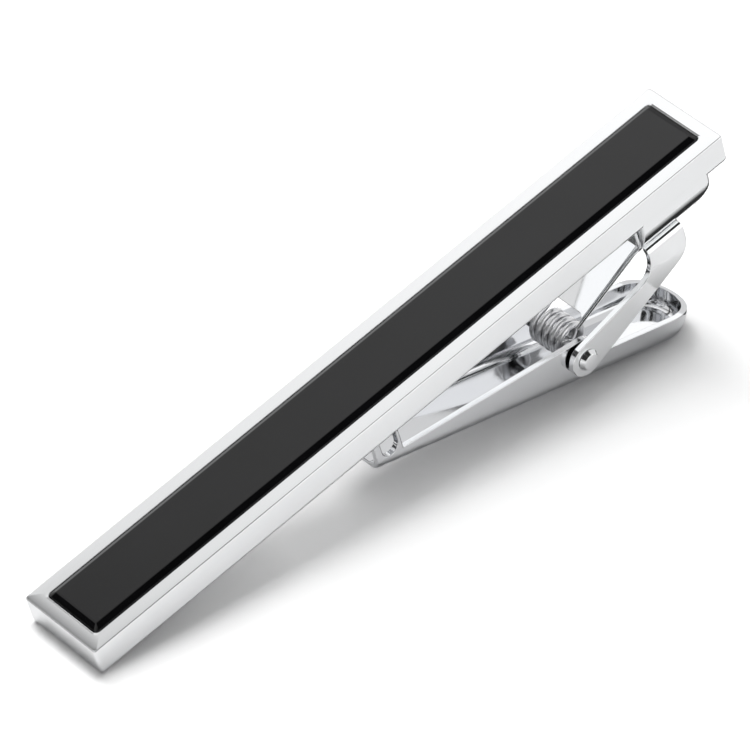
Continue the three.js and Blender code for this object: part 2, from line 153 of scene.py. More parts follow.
def mesh_object(name, points, faces):
    """Puts points of the bar's frame and their faces into a mesh object at the origin, merged and facing outwards."""
    mesh = bpy.data.meshes.new(name)
    mesh.from_pydata(on_table(points).tolist(), [], faces)
    work = bmesh.new()
    work.from_mesh(mesh)
    bmesh.ops.remove_doubles(work, verts=work.verts, dist=MERGE_DISTANCE)
    bmesh.ops.dissolve_degenerate(work, edges=work.edges, dist=MERGE_DISTANCE)
    bmesh.ops.recalc_face_normals(work, faces=work.faces)
    open_edges = sum(not edge.is_manifold for edge in work.edges)
    work.to_mesh(mesh)
    work.free()
    mesh.polygons.foreach_set("use_smooth", np.ones(len(mesh.polygons), bool))
    mesh.set_sharp_from_angle(angle=SHARP_ANGLE)
    made = bpy.data.objects.new(name, mesh)
    bpy.context.scene.collection.objects.link(made)
    print(f"{name}: {len(mesh.polygons)} faces, {open_edges} open edges")
    return made


def keep_flat(made):
    """Weights the normals by the faces' areas, so that round edges don't bend the reflections of flat faces."""
    even = made.modifiers.new("flat_faces", "WEIGHTED_NORMAL")
    even.keep_sharp = True
    return made


def soften(made, width):
    """Rounds the sharp edges of a piece by a width in millimetres and keeps its flat faces flat."""
    bevel = made.modifiers.new("edge_round", "BEVEL")
    bevel.width = width * MM
    bevel.segments = BEVEL_SEGMENTS
    bevel.limit_method = "ANGLE"
    bevel.angle_limit = BEVEL_ANGLE
    bevel.use_clamp_overlap = False
    return keep_flat(made)


def dress(made, finish, slot, body, *nodes):
    """Gives a piece its finish, lets it ride on a body and lets it stand for its construction nodes; the slot is not
    used.
    """
    made.data.materials.append(finish)
    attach(made, body)
    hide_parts(*nodes)
    return made


# %% [markdown]
# ## Finishes
#
# Colours are written as the hex values that a colour picker shows, which are sRGB, and one function turns them
# into the linear values that the shader wants. Another small function adds a node, sets what is fixed on it and
# links what comes from another node. Every pattern reads Object coordinates, which are metres here, so its
# scale is one over the size of its features.


# %% Colours and nodes
def linear(hex_colour):
    """The sRGB curve undone: the straight part below 0.04045, the power of 2.4 above it."""
    part = np.array([int(hex_colour[i:i + 2], 16) for i in (1, 3, 5)]) / 255
    curved = np.where(part <= 0.04045, part / 12.92, ((part + 0.055) / 1.055) ** 2.4)
    return (*curved.tolist(), 1.0)


def add(tree, kind, inputs, **settings):
    """Adds a node with its settings; an input given as another node's output is linked, any other is set."""
    made = tree.nodes.new(kind)
    for name, value in settings.items():
        setattr(made, name, value)
    for name, value in inputs.items():
        if isinstance(value, bpy.types.NodeSocket):
            tree.links.new(value, made.inputs[name])
        else:
            made.inputs[name].default_value = value
    return made


def new_finish(name):
    """An empty material with its shader, its output and its Object coordinates."""
    material = bpy.data.materials.new(name)
    material.use_nodes = True
    tree = material.node_tree
    tree.nodes.clear()
    shader = add(tree, "ShaderNodeBsdfPrincipled", {})
    add(tree, "ShaderNodeOutputMaterial", {"Surface": shader.outputs["BSDF"]})
    place = add(tree, "ShaderNodeTexCoord", {}).outputs["Object"]
    return material, tree, shader, place


def per_mm(size):
    """The texture scale, in features per metre, whose features have this size in millimetres."""
    return 1 / (size * MM)


# %% [markdown]
# ### Bright plating
#
# The bar and the clip are brass, or a zinc casting, under polished rhodium-bright plating. Such plating is a
# nearly neutral mirror. What tells it from a perfect one is a slight waviness left by the polishing wheel, a
# few millimetres long, and a haze of fine wheel marks that makes some patches a touch less sharp than others.
# The jaw's plating is written a shade darker than the rest.

# %% Bright plating
HAZE_PATCH = 3.0
HAZE_SPAN = {"From Min": 0.3, "From Max": 0.7}
WHEEL_WAVE = 4.0


def bright_plating(name, colour, sharp, hazy, wave_height):
    """Polished plating: roughness from sharp to hazy in soft patches, and wheel waves of a height in millimetres."""
    material, tree, shader, place = new_finish(name)
    shader.inputs["Base Color"].default_value = linear(colour)
    shader.inputs["Metallic"].default_value = 1.0
    patches = add(tree, "ShaderNodeTexNoise", {"Vector": place, "Scale": per_mm(HAZE_PATCH), "Detail": 4.0})
    haze = {"Value": patches.outputs["Fac"], **HAZE_SPAN, "To Min": sharp, "To Max": hazy}
    roughness = add(tree, "ShaderNodeMapRange", haze)
    tree.links.new(roughness.outputs["Result"], shader.inputs["Roughness"])
    waves = add(tree, "ShaderNodeTexNoise", {"Vector": place, "Scale": per_mm(WHEEL_WAVE), "Detail": 1.0})
    bump = {"Height": waves.outputs["Fac"], "Strength": 1.0, "Distance": wave_height * MM}
    relief = add(tree, "ShaderNodeBump", bump)
    tree.links.new(relief.outputs["Normal"], shader.inputs["Normal"])
    return material


bar_plating = bright_plating("polished_plating_bar", "#f0f1f2", sharp=0.06, hazy=0.12, wave_height=0.004)
clip_plating = bright_plating("polished_plating_clip", "#f0f1f2", sharp=0.05, hazy=0.1, wave_height=0.006)
jaw_plating = bright_plating("polished_plating_jaw", "#e2e3e5", sharp=0.05, hazy=0.1, wave_height=0.006)
print("plating:", bar_plating.name, clip_plating.name, jaw_plating.name)

# %% [markdown]
# ### Polished onyx
#
# Black onyx is dyed chalcedony, cut flat and polished. Its body is almost black, with faint clouds, and all
# that the eye sees of it is the clear reflection on top, which at an index of about 1.5 is a twenty-fifth of the
# light. Fine polishing marks make that reflection a little soft.

# %% Polished onyx
CLOUD_SIZE = 5.0
CLOUD_TONES = [(0.35, "#060607"), (0.75, "#0d0d0f")]
POLISH_MARK = 0.8
POLISH_SPAN = {"To Min": 0.06, "To Max": 0.14}
ONYX_IOR = 1.48


def polished_onyx():
    """Dyed stone: two near blacks mixed by clouds of a few millimetres, under a clear polish."""
    material, tree, shader, place = new_finish("polished_onyx")
    clouds = add(tree, "ShaderNodeTexNoise", {"Vector": place, "Scale": per_mm(CLOUD_SIZE), "Detail": 6.0})
    tones = add(tree, "ShaderNodeValToRGB", {"Fac": clouds.outputs["Fac"]})
    for stop, (position, colour) in zip(tones.color_ramp.elements, CLOUD_TONES):
        stop.position = position
        stop.color = linear(colour)
    tree.links.new(tones.outputs["Color"], shader.inputs["Base Color"])
    shader.inputs["IOR"].default_value = ONYX_IOR
    grit = add(tree, "ShaderNodeTexNoise", {"Vector": place, "Scale": per_mm(POLISH_MARK), "Detail": 3.0})
    roughness = add(tree, "ShaderNodeMapRange", {"Value": grit.outputs["Fac"], **POLISH_SPAN})
    tree.links.new(roughness.outputs["Result"], shader.inputs["Roughness"])
    return material


onyx = polished_onyx()
print("stone:", onyx.name)

# %% [markdown]
# ### Spring wire, solder and cement
#
# The spring is drawn steel wire under the same bright plating. It is as light as the rest, but wire is not polished,
# so its gloss is softer. The solder under the boss is grey and grainy, and the cement under the stone is a dull
# dark resin. The last two hardly show, but every surface has its finish.

# %% Spring wire, solder and cement
GRAIN_RELIEF = 0.01


def plain_finish(name, dark, light, metallic, smooth, rough, grain):
    """Two tones and two roughnesses mixed by the same grain, whose size is in millimetres."""
    material, tree, shader, place = new_finish(name)
    pattern = add(tree, "ShaderNodeTexNoise", {"Vector": place, "Scale": per_mm(grain), "Detail": 3.0})
    tones = add(tree, "ShaderNodeValToRGB", {"Fac": pattern.outputs["Fac"]})
    tones.color_ramp.elements[0].color = linear(dark)
    tones.color_ramp.elements[1].color = linear(light)
    tree.links.new(tones.outputs["Color"], shader.inputs["Base Color"])
    shader.inputs["Metallic"].default_value = metallic
    span = {"Value": pattern.outputs["Fac"], "To Min": smooth, "To Max": rough}
    roughness = add(tree, "ShaderNodeMapRange", span)
    tree.links.new(roughness.outputs["Result"], shader.inputs["Roughness"])
    relief = add(tree, "ShaderNodeBump", {"Height": pattern.outputs["Fac"], "Distance": GRAIN_RELIEF * grain * MM})
    tree.links.new(relief.outputs["Normal"], shader.inputs["Normal"])
    return material


wire_look = {"metallic": 1.0, "smooth": 0.28, "rough": 0.36, "grain": 0.5}
solder_look = {"metallic": 1.0, "smooth": 0.35, "rough": 0.5, "grain": 0.4}
cement_look = {"metallic": 0.0, "smooth": 0.7, "rough": 0.9, "grain": 0.6}
spring_wire = plain_finish("drawn_spring_wire", "#ececee", "#f8f8f9", **wire_look)
soft_solder = plain_finish("soft_solder", "#8f9294", "#abadaf", **solder_look)
resin_cement = plain_finish("resin_cement", "#262523", "#383634", **cement_look)
for node, finish in {"solder_pad": soft_solder, "inlay_cement": resin_cement}.items():
    frame["nodes"][node].data.materials.clear()
    frame["nodes"][node].data.materials.append(finish)
print("fillers:", spring_wire.name, soft_solder.name, resin_cement.name)

# %% [markdown]
# ## The bar
#
# The bar is a shallow casting: a rounded lower edge, straight sides, a crisp upper edge, a rim and a pocket for
# the stone. All of it is one stack of rounded rectangles, each a little further in or higher up than the last,
# from the back, up the sides, over the rim and down into the pocket. Polishing has rolled off the left end of
# the rim, so its outer edge there falls by a few hundredths of a millimetre, which is what shades that end.

# %% The bar's rings
BAR_LENGTH = 58.0
BAR_WIDTH = 7.4
BAR_THICKNESS = 2.6
RIM_WIDTH = 1.1
POCKET_FLOOR = 1.3
LOWER_ROUND = 0.5
UPPER_ROUND = 0.09
BAR_CORNER = 0.2
POCKET_CORNER = 0.35
POCKET_EDGE = 0.04
ROLL_OFF = 0.06
CORNER_STEPS = 8
LOWER_STEPS = 10
UPPER_STEPS = 6
POCKET_STEPS = 3
RIM_STEPS = 7


def rounded_rectangle(length, width, corner, height):
    """Level rectangles with quarter circles at their corners, one ring of points for each entry of the arrays."""
    turn = np.linspace(0, np.pi / 2, CORNER_STEPS + 1)
    turns = np.concatenate([turn + quarter * np.pi / 2 for quarter in range(4)])
    side_x = np.repeat([1, -1, -1, 1], CORNER_STEPS + 1)
    side_y = np.repeat([1, 1, -1, -1], CORNER_STEPS + 1)
    length, width, corner, height = (np.asarray(a, float)[:, None] for a in (length, width, corner, height))
    x = side_x * (length / 2 - corner) + corner * np.cos(turns)
    y = side_y * (width / 2 - corner) + corner * np.sin(turns)
    return np.stack([x, y, np.broadcast_to(height, x.shape)], axis=-1)


def quarter_round(radius, steps):
    """How far a quarter circle of a radius lies in from its two tangents, step by step."""
    turn = np.linspace(0, np.pi / 2, steps + 1)
    return radius * (1 - np.sin(turn)), radius * (1 - np.cos(turn))


def bar_rings():
    """Insets and heights from the back, over the sides and the rim, into the pocket, as one stack of rectangles."""
    low_in, low_up = quarter_round(LOWER_ROUND, LOWER_STEPS)
    top_up, top_in = quarter_round(UPPER_ROUND, UPPER_STEPS)
    edge_in, edge_down = quarter_round(POCKET_EDGE, POCKET_STEPS)
    rim = np.linspace(UPPER_ROUND, RIM_WIDTH - POCKET_EDGE, RIM_STEPS + 1)[1:-1]
    inset = np.concatenate([low_in, top_in, rim, RIM_WIDTH - edge_in, [RIM_WIDTH]])
    top = BAR_THICKNESS
    height = np.concatenate([low_up, top - top_up, rim * 0 + top, top - edge_down, [POCKET_FLOOR]])
    inner = np.clip((inset - UPPER_ROUND) / (RIM_WIDTH - UPPER_ROUND), 0, 1)
    corner = BAR_CORNER + (POCKET_CORNER - BAR_CORNER) * inner
    return rounded_rectangle(BAR_LENGTH - 2 * inset, BAR_WIDTH - 2 * inset, corner, height)


def rolled_off(rings):
    """Lowers the rim's left end along a parabola that starts at the pocket and is deepest at the outer edge."""
    reach = np.clip((-rings[..., 0] - BAR_LENGTH / 2 + RIM_WIDTH) / RIM_WIDTH, 0, 1)
    share = np.clip((rings[..., 2] - BAR_THICKNESS + 2 * UPPER_ROUND) / UPPER_ROUND, 0, 1)
    fallen = rings.copy()
    fallen[..., 2] -= ROLL_OFF * reach**2 * share
    return fallen


bar = mesh_object("bar_casting", *stack(rolled_off(bar_rings())))

# %% [markdown]
# ## The boss
#
# Under the right end the casting has a block that the clip is soldered to. In side view it is a rectangle with a
# small radius at its left foot and a large one at its right foot. Its near and far edges are quarter ellipses,
# taller than they are deep. It is made as that side view, stacked across the bar and drawn in near both faces. Its
# top ends inside the bar, just above the bar's own lower round, so that the two sides run into each other.

# %% The boss, joined to the bar
BOSS_LEFT = 20.6
BOSS_RIGHT = 27.5
BOSS_BOTTOM = -2.25
BOSS_FOOT_ROUND = 0.3
BOSS_END_ROUND = 1.9
BOSS_EDGE_ROUND = 2.2
BOSS_EDGE_DEPTH = 1.0
BOSS_LEFT_EDGE = 0.4
BOSS_RIGHT_EDGE = 0.6
BOSS_TOP = 0.55
FLUSH = 0.0005
LEAST_ROUND = 0.05
BOSS_FOOT_STEPS = 8
BOSS_END_STEPS = 16
BOSS_EDGE_STEPS = 24
CASTING_EDGE = 0.03


def bezier(start, bend, end, steps):
    """A quadratic curve from start to end whose tangents meet at bend."""
    t = np.linspace(0, 1, steps + 1)[:, None]
    start, bend, end = (np.asarray(p, float) for p in (start, bend, end))
    return (1 - t) ** 2 * start + 2 * t * (1 - t) * bend + t**2 * end


def boss_ring(inset, y):
    """The boss in side view, drawn in by an inset: two square corners in the bar and two round feet under it."""
    left = BOSS_LEFT + inset * BOSS_LEFT_EDGE / BOSS_EDGE_ROUND
    right = BOSS_RIGHT - inset * BOSS_RIGHT_EDGE / BOSS_EDGE_ROUND
    bottom = BOSS_BOTTOM + inset
    small = max(BOSS_FOOT_ROUND - inset, LEAST_ROUND)
    large = max(BOSS_END_ROUND - inset, LEAST_ROUND)
    foot = bezier((left, bottom + small), (left, bottom), (left + small, bottom), BOSS_FOOT_STEPS)
    end = bezier((right - large, bottom), (right, bottom), (right, bottom + large), BOSS_END_STEPS)
    outline = np.concatenate([[(left, BOSS_TOP)], foot, end, [(right, BOSS_TOP)]])
    return np.insert(outline, 1, y, axis=1)


def boss_rings():
    """Rings across the bar, with a quarter ellipse of insets at the near and at the far face."""
    edge_in, edge_up = quarter_round(1.0, BOSS_EDGE_STEPS)
    half = BAR_WIDTH / 2 + FLUSH
    inset = BOSS_EDGE_ROUND * np.concatenate([edge_in, edge_in[::-1]])
    y = np.concatenate([BOSS_EDGE_DEPTH * edge_up - half, half - BOSS_EDGE_DEPTH * edge_up[::-1]])
    return np.stack([boss_ring(i, at) for i, at in zip(inset, y)])


boss = keep_flat(mesh_object("clip_boss", *stack(boss_rings())))
for casting in (soften(bar, CASTING_EDGE), boss):
    dress(casting, bar_plating, "plated_bar", "bar", "bar_frame")

# %% [markdown]
# ## The stone
#
# The slab is a rectangle that drops into the pocket, with a bevel round its top that starts at the rim. It is
# a stack of three rings. The ridge between bevel and top is not knife sharp on a real stone, so a small edge round
# gives it the thin line of light that runs along the far ridge.

# %% The stone slab
STONE_FIT = 0.05
STONE_BOTTOM = 1.46
STONE_PROUD = 0.3
STONE_BEVEL = 0.45
STONE_EDGE = 0.05


def stone_rings():
    """Bottom, rim height, and the bevel's upper end, as rounded rectangles."""
    inset = np.array([0, 0, STONE_BEVEL])
    height = np.array([STONE_BOTTOM, BAR_THICKNESS, BAR_THICKNESS + STONE_PROUD])
    length = BAR_LENGTH - 2 * (RIM_WIDTH + STONE_FIT + inset)
    width = BAR_WIDTH - 2 * (RIM_WIDTH + STONE_FIT + inset)
    corner = np.maximum(POCKET_CORNER - inset, LEAST_ROUND)
    return rounded_rectangle(length, width, corner, height)


stone = soften(mesh_object("onyx_slab", *stack(stone_rings())), STONE_EDGE)
dress(stone, onyx, "onyx", "bar", "onyx_inlay")

# %% [markdown]
# ## The jaw
#
# The jaw is one stamping: a channel with a flat floor and rolled lower edges, open at the nose and closed round
# the tail like a spoon. Its walls have two teeth with a round notch between them at the nose, rise in a straight
# line to a hump round the pin and then drop to the low wall of the tail. The surface has two parameters: one
# runs along the rim from the near tooth, round the tail, to the far tooth; the other runs from the rim down the
# wall, round the lower edge and across the floor to the middle. The inner skin is the same, a sheet further in.

# %% The jaw's rim
JAW_ANGLE = np.radians(21.3)
JAW_HALF = 2.85
JAW_SHEET = 0.45
JAW_FLOOR = -2.75
JAW_ROUND = 1.2
HUMP = 1.3
TAIL_START = 8.75
TAIL_ROUND = 3.1
TAIL_RIM = -0.5
TAIL_DIP = 0.5
NOSE_X = -3.9
TOOTH_TOP = -0.05
NOTCH_LEFT = -3.35
NOTCH_RIGHT = -1.95
NOTCH_BOTTOM = -2.4
REAR_TOOTH_RIGHT = -1.65
WALL_START_UP = -1.25
DRAFT = 0.04
SLANT_FADE = 4.0
NOTCH_STEPS = 16
SLOPE_STEPS = 21
HUMP_STEPS = 15
DROP_STEPS = 8
LOW_WALL_STEPS = 6


def in_jaw(x, z):
    """Along and up in the jaw's frame, which runs from the pin to the tail, for points of the bar's frame."""
    dx = np.asarray(x, float) - PIN_X
    dz = np.asarray(z, float) - PIN_Z
    along = dx * np.cos(JAW_ANGLE) - dz * np.sin(JAW_ANGLE)
    up = dx * np.sin(JAW_ANGLE) + dz * np.cos(JAW_ANGLE)
    return along, up


def out_of_jaw(along, y, up):
    """Points of the jaw's frame in the bar's frame."""
    x = PIN_X + along * np.cos(JAW_ANGLE) + up * np.sin(JAW_ANGLE)
    z = PIN_Z - along * np.sin(JAW_ANGLE) + up * np.cos(JAW_ANGLE)
    return np.stack([x, y, z], axis=-1)


def nose_rim():
    """Teeth and notch: level tooth tops, and between them straight flanks that end in a half circle."""
    turn = np.linspace(np.pi, 0, NOTCH_STEPS + 1)
    radius = (NOTCH_RIGHT - NOTCH_LEFT) / 2
    notch_x = (NOTCH_LEFT + NOTCH_RIGHT) / 2 + radius * np.cos(turn)
    notch_z = NOTCH_BOTTOM + radius - radius * np.sin(turn)
    tooth_x = [NOSE_X, NOTCH_LEFT - DRAFT]
    rear_x = [NOTCH_RIGHT + DRAFT, REAR_TOOTH_RIGHT - DRAFT]
    x = np.concatenate([tooth_x, notch_x, rear_x])
    z = np.concatenate([[TOOTH_TOP] * 2, notch_z, [TOOTH_TOP] * 2])
    return in_jaw(x, z)


def side_rim():
    """The wall's upper edge from the nose to the tail: line, hump, and a curve down to the low wall."""
    slope_along = (REAR_TOOTH_RIGHT - PIN_X - WALL_START_UP * np.sin(JAW_ANGLE)) / np.cos(JAW_ANGLE)
    tangent = np.pi / 2 + np.arctan2(HUMP - WALL_START_UP, -slope_along)
    turn = np.linspace(tangent, 0, HUMP_STEPS + 1)
    hump = HUMP * np.stack([np.cos(turn), np.sin(turn)], axis=-1)
    slope = np.linspace((slope_along, WALL_START_UP), hump[0], SLOPE_STEPS + 1)
    drop = bezier((HUMP, 0), (HUMP, TAIL_RIM), (2 * HUMP, TAIL_RIM), DROP_STEPS)
    low_wall = np.linspace(drop[-1], (TAIL_START, TAIL_RIM), LOW_WALL_STEPS + 1)
    return np.concatenate([slope, hump[1:], drop[1:], low_wall[1:]]).T


def rim_stations():
    """Along, up and slant of every station on the near wall: slanted as the nose is cut, upright further back."""
    nose_along, nose_up = nose_rim()
    side_along, side_up = side_rim()
    along = np.concatenate([nose_along, side_along])
    up = np.concatenate([nose_up, side_up])
    behind = np.clip((along - side_along[0]) / SLANT_FADE, 0, 1)
    return along, up, np.tan(JAW_ANGLE) * (1 - behind)


# %% [markdown]
# ### The jaw's two skins
#
# From the rim inwards each skin is a straight wall, a quarter circle and a flat floor. In plan the near wall is
# a straight line and the tail half an ellipse; drawing the ellipse's two half axes in by the same amount gives
# the points further in. The far wall is the near wall mirrored, so both halves meet along the floor's middle
# line, where the doubled points are merged.

# %% The jaw's skins
WALL_STEPS = 5
ROLL_STEPS = 12
FLOOR_STEPS = 3
TAIL_STEPS = 40
SHEET_EDGE = 0.04


def jaw_skin(depth):
    """Wall, quarter circle and floor below every station of the rim, drawn in by a depth in the sheet."""
    radius = JAW_ROUND - depth
    wall_base = JAW_FLOOR + JAW_ROUND
    wall = np.linspace(0, 1, WALL_STEPS + 1)
    roll = np.linspace(0, np.pi / 2, ROLL_STEPS + 1)[1:]
    across = np.linspace(JAW_ROUND, JAW_HALF, FLOOR_STEPS + 1)[1:]
    inset = np.concatenate([wall * 0 + depth, depth + radius * (1 - np.cos(roll)), across])
    below = np.concatenate([-radius * np.sin(roll), across * 0 - radius]) + wall_base
    along, rim, slant = rim_stations()

    def levels(rim_up):
        """Heights from the rim down the wall, round the lower edge and across the floor."""
        upper = rim_up[:, None] + wall * (wall_base - rim_up[:, None])
        return np.concatenate([upper, np.broadcast_to(below, (len(rim_up), len(below)))], axis=1)

    near_up = levels(rim)
    near_along = along[:, None] - slant[:, None] * (near_up - rim[:, None])
    near_y = np.broadcast_to(inset - JAW_HALF, near_up.shape)
    turn = np.linspace(-np.pi / 2, np.pi / 2, TAIL_STEPS + 1)[1:-1, None]
    tail_along = TAIL_START + (TAIL_ROUND - inset) * np.cos(turn)
    tail_y = (JAW_HALF - inset) * np.sin(turn)
    tail_rim = TAIL_RIM - TAIL_DIP * ((tail_along[:, 0] - TAIL_START) / TAIL_ROUND) ** 2
    near = out_of_jaw(near_along, near_y, near_up)
    tail = out_of_jaw(tail_along, tail_y, levels(tail_rim))
    far = near[::-1] * [1, -1, 1]
    return np.concatenate([near, tail, far])


jaw = mesh_object("jaw_stamping", *sheet(jaw_skin(0.0), jaw_skin(JAW_SHEET), open_edges=["last_column"]))
soften(jaw, SHEET_EDGE)
dress(jaw, jaw_plating, "plated_jaw", "jaw", "clip_jaw")

# %% [markdown]
# ## The bracket
#
# The bracket is bent from one blank: a base under the boss, and two ears whose arms run down to the pin. Seen as
# a ribbon it starts at the near arm's round end, widens into the ear, bends over the base and runs down the far
# side. Each row of the ribbon goes from the ear's inner edge to its outer edge. The two edges are made of the
# same pieces, a straight edge, a curve, a straight arm and part of a circle, so their points pair up.

# %% The bracket's edges
SHEET = 0.45
BEND = 0.6
EAR_OUTER = 3.5
BASE_TOP = -2.35
BASE_LEFT = 20.95
BASE_RIGHT = 24.25
ARM_ROUND = 1.38
ARM_UPPER = np.radians(10)
ARM_LOWER = np.radians(20.5)
ARM_END = np.radians(195)
EAR_INNER_ROUND = 1.5
EAR_OUTER_ROUND = 1.2
FOLD_X = 21.6
SLIT_HALF = 2.88
EAR_STEPS = 3
EAR_CURVE_STEPS = 10
ARM_STEPS = 9
ARM_END_STEPS = 20
RIBBON_STEPS = 8
BEND_STEPS = 8


def ear_edge(base_x, slope, arm_start, corner_round):
    """One edge of an ear in side view: down from the bend, round a corner, along the arm and round its end."""
    reach = np.array([np.cos(slope), np.sin(slope)])
    arm = np.array([PIN_X + ARM_ROUND * np.cos(arm_start), PIN_Z + ARM_ROUND * np.sin(arm_start)])
    corner = np.array([base_x, arm[1] + (base_x - arm[0]) * np.tan(slope)])
    straight = np.linspace((base_x, BASE_TOP - BEND), corner + [0, corner_round], EAR_STEPS + 1)
    curve = bezier(straight[-1], corner, corner - corner_round * reach, EAR_CURVE_STEPS)[1:]
    line = np.linspace(curve[-1], arm, ARM_STEPS + 1)[1:]
    turn = np.linspace(arm_start, ARM_END, ARM_END_STEPS + 1)[1:]
    end = np.stack([PIN_X + ARM_ROUND * np.cos(turn), PIN_Z + ARM_ROUND * np.sin(turn)], axis=-1)
    return np.concatenate([straight, curve, line, end])


def bracket_skin(depth):
    """Rows from the near arm's end, over the bend and the base, to the far arm's end, at a depth in the sheet."""
    inner_edge = ear_edge(BASE_LEFT, ARM_UPPER, np.pi / 2 + ARM_UPPER, EAR_INNER_ROUND)
    outer_edge = ear_edge(BASE_RIGHT, ARM_LOWER, 1.5 * np.pi + ARM_LOWER, EAR_OUTER_ROUND)
    share = np.linspace(0, 1, RIBBON_STEPS + 1)[:, None]
    ribbon = inner_edge[::-1, None] * (1 - share) + outer_edge[::-1, None] * share
    ear = np.insert(ribbon, 1, depth - EAR_OUTER, axis=2)
    turn = np.linspace(0, np.pi / 2, BEND_STEPS + 1)[1:]
    bend_y = BEND - EAR_OUTER - (BEND - depth) * np.cos(turn)
    bend_z = BASE_TOP - BEND + (BEND - depth) * np.sin(turn)
    base_y = np.array([-SLIT_HALF, 0])
    y = np.concatenate([bend_y, base_y])
    z = np.concatenate([bend_z, base_y * 0 + BASE_TOP - depth])
    left = np.concatenate([bend_y * 0 + BASE_LEFT, base_y * 0 + FOLD_X])[:, None]
    x = left + share[:, 0] * (BASE_RIGHT - left)
    half = np.stack([x, np.broadcast_to(y[:, None], x.shape), np.broadcast_to(z[:, None], x.shape)], axis=-1)
    near = np.concatenate([ear, half])
    return np.concatenate([near, near[-2::-1] * [1, -1, 1]])


bracket = mesh_object("bracket_stamping", *sheet(bracket_skin(0.0), bracket_skin(SHEET)))

# %% [markdown]
# ## The tongue
#
# The middle of the bracket's base is cut free, folded down and run out to the coil, where it ends in two prongs
# that keep the spring in place. Its edges are rolled down over the last fraction of a millimetre. The surface
# runs along the tongue and across it: across, a flat strip and two arcs; along, a short flat lead, a fold and
# a straight run that is shorter in the middle than at the prongs.

# %% The tongue
TONGUE_ANGLE = np.radians(26.8)
TONGUE_LENGTH = 7.5
TONGUE_LEAD = 0.65
TONGUE_ROOT_HALF = 2.6
TONGUE_TIP_HALF = 2.15
TONGUE_ROLL = 0.7
TONGUE_ROLL_ANGLE = np.radians(35)
ROLL_WIDTH = TONGUE_ROLL * np.sin(TONGUE_ROLL_ANGLE)
TONGUE_SUNK = 0.01
PRONG_LENGTH = 1.05
PRONG_INNER = 1.85
PRONG_ROUND = 0.5
PRONG_GAP = (0.01, 0.03)
ROLL_FADE = 0.15
FLAT_STEPS = 8
EDGE_STEPS = 6
FOLD_STEPS = 8
RUN_STEPS = 24


def tongue_reach(y):
    """How long the straight run is at a distance from the middle: short between the prongs, with round corners."""
    corner = np.clip((np.abs(y) - PRONG_INNER + PRONG_ROUND) / PRONG_ROUND, 0, 1)
    between = TONGUE_LENGTH - PRONG_LENGTH + PRONG_ROUND * (1 - np.sqrt(1 - corner**2))
    return np.where(np.abs(y) < PRONG_INNER, between, TONGUE_LENGTH)


def tongue_columns():
    """Share of the flat strip and turn of the rolled edge, column by column, close to each prong's inner edge."""
    prong_turn = np.arcsin((PRONG_INNER - TONGUE_TIP_HALF + ROLL_WIDTH) / TONGUE_ROLL)
    inner_rolls = np.linspace(0, prong_turn - PRONG_GAP[0], EDGE_STEPS + 1)[1:]
    outer_rolls = np.linspace(prong_turn + PRONG_GAP[1], TONGUE_ROLL_ANGLE, EDGE_STEPS)
    flat = np.concatenate([np.linspace(0, 1, FLAT_STEPS + 1), np.ones(2 * EDGE_STEPS)])
    roll = np.concatenate([np.zeros(FLAT_STEPS + 1), inner_rolls, outer_rolls])
    return np.concatenate([-flat[:0:-1], flat]), np.concatenate([-roll[:0:-1], roll])


def tongue_rows(reach):
    """Turn and straight distance of the lead, the fold and the run, which is as long as each column reaches."""
    lead = np.full((1, len(reach)), -TONGUE_LEAD)
    fold = np.linspace(0, TONGUE_ANGLE, FOLD_STEPS + 1)[:, None] + reach * 0
    run = np.linspace(0, 1, RUN_STEPS + 1)[1:, None] * reach
    turn = np.concatenate([lead * 0, fold, run * 0 + TONGUE_ANGLE])
    return turn, np.concatenate([lead, fold * 0, run])


def tongue_skin(depth):
    """Lead, fold and straight run along, flat strip and rolled edges across, at a depth in the sheet."""
    flat, roll = tongue_columns()
    tip_y = flat * (TONGUE_TIP_HALF - ROLL_WIDTH) + TONGUE_ROLL * np.sin(roll)
    turn, straight = tongue_rows(tongue_reach(tip_y))
    x = FOLD_X - BEND * np.sin(turn) - straight * np.cos(turn)
    z = BASE_TOP - TONGUE_SUNK - BEND * (1 - np.cos(turn)) - straight * np.sin(turn)
    share = np.maximum(straight, 0) / TONGUE_LENGTH
    half = TONGUE_ROOT_HALF + (TONGUE_TIP_HALF - TONGUE_ROOT_HALF) * share
    rolled = np.clip(share / ROLL_FADE, 0, 1)
    y = flat * (half - ROLL_WIDTH) + (TONGUE_ROLL - depth * rolled) * np.sin(roll)
    drop = rolled * (TONGUE_ROLL - (TONGUE_ROLL - depth) * np.cos(roll)) + (1 - rolled) * depth
    return np.stack([x + drop * np.sin(turn), y, z - drop * np.cos(turn)], axis=-1)


tongue = mesh_object("spring_tongue", *sheet(tongue_skin(0.0), tongue_skin(SHEET - 2 * TONGUE_SUNK)))
for stamping in (bracket, tongue):
    soften(stamping, SHEET_EDGE)
    dress(stamping, clip_plating, "plated_bracket", "bar", "clip_bracket")

# %% [markdown]
# ## The rivet
#
# The hinge pin is a rivet with a pressed head outside each ear: a slanted flank, a small shoulder and a nearly flat
# top. A profile of radius against distance along the axis, turned round the axis, gives all of it. The flank is
# a cone and the top a shallow parabola, and the edge round of the piece makes the shoulder between them.

# %% The rivet
PIN_RADIUS = 0.5
HEAD_RADIUS = 0.85
HEAD_HEIGHT = 0.4
HEAD_FACE = 3.53
TOP_RADIUS = 0.62
TOP_RISE = 0.04
TOP_STEPS = 8
RIVET_SIDES = 64
RIVET_EDGE = 0.03


